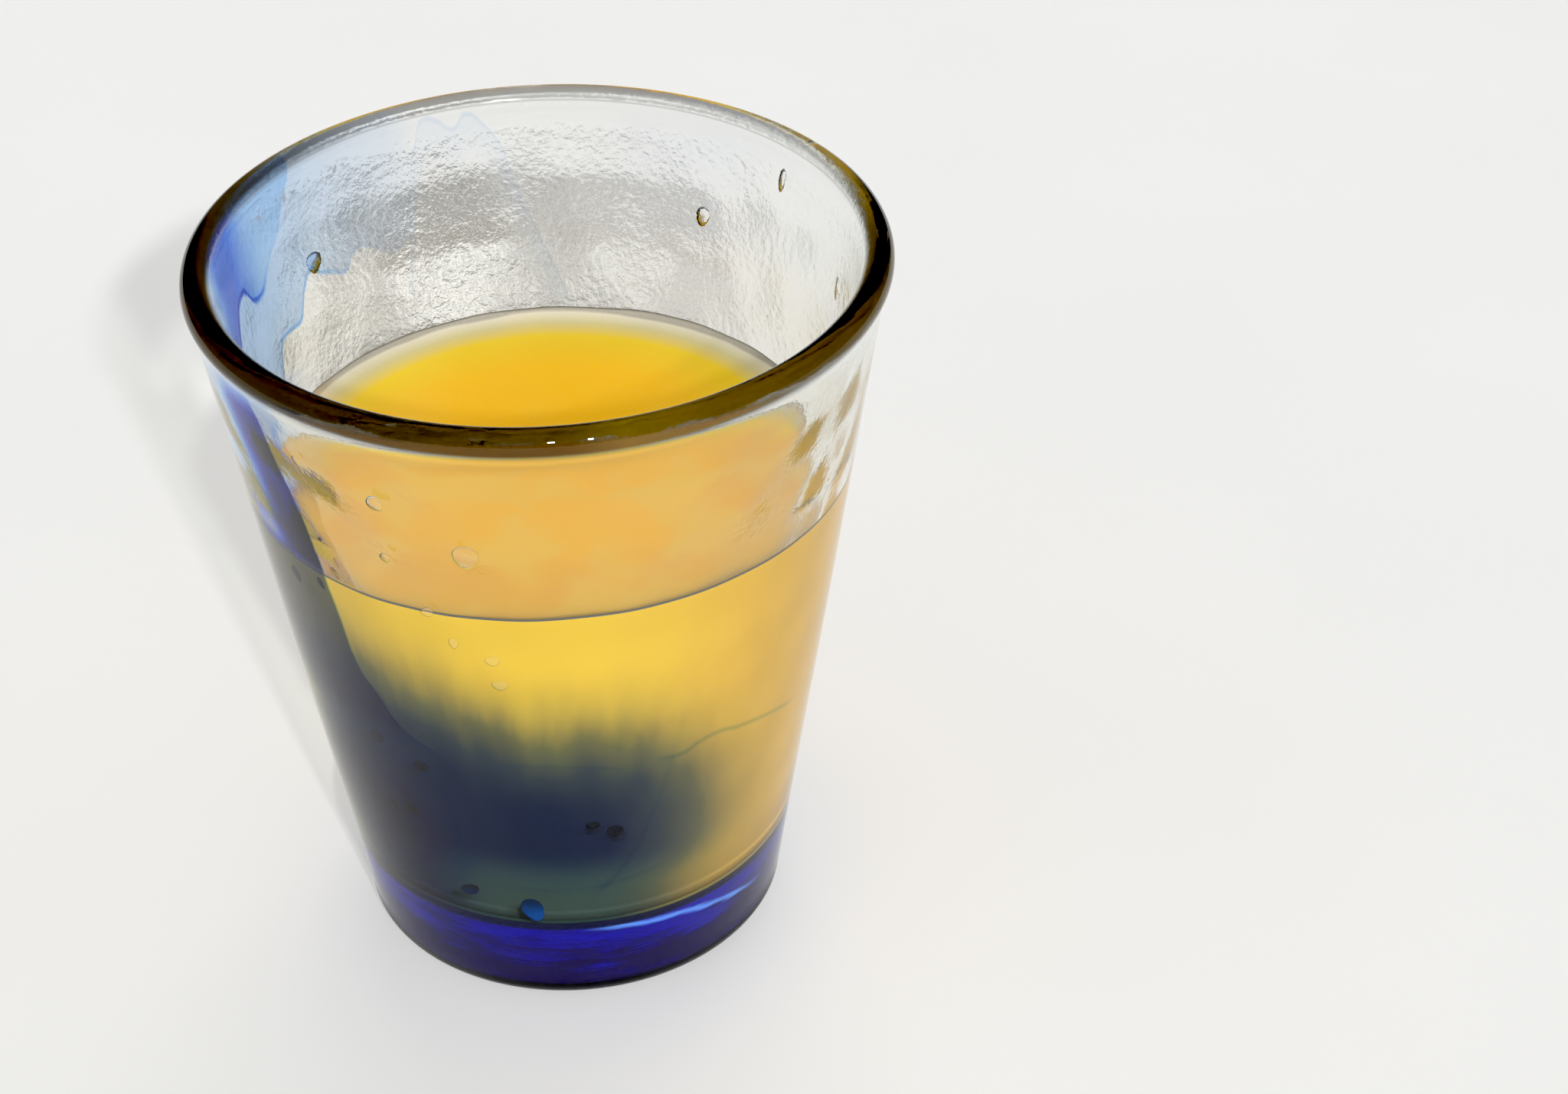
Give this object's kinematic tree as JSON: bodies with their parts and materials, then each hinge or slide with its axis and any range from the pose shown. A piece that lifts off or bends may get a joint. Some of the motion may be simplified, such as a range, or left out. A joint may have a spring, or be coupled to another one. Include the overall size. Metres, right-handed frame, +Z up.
{
  "type": "glass of orange juice",
  "caption": "Tapered glass tumbler with a heavy base, a rounded lip and a hammered inner wall, filled about two thirds of the way up with cloudy orange juice.",
  "frame": {"origin": "centre of the flat underside of the tumbler, where its axis meets the table", "axes": "+Z up along the tumbler's axis; -Y faces the picture's camera, which stands a little to the +X side"},
  "size_m": [0.088, 0.088, 0.0995],
  "materials": {
    "glass": "clear glass with cobalt blue swirls and a cobalt base, fire polished, a few bubbles in it",
    "juice": "cloudy orange juice with a wet, glossy surface"
  },
  "bodies": {
    "root": {"glass": "glass", "juice": "juice"}
  },
  "joints": []
}
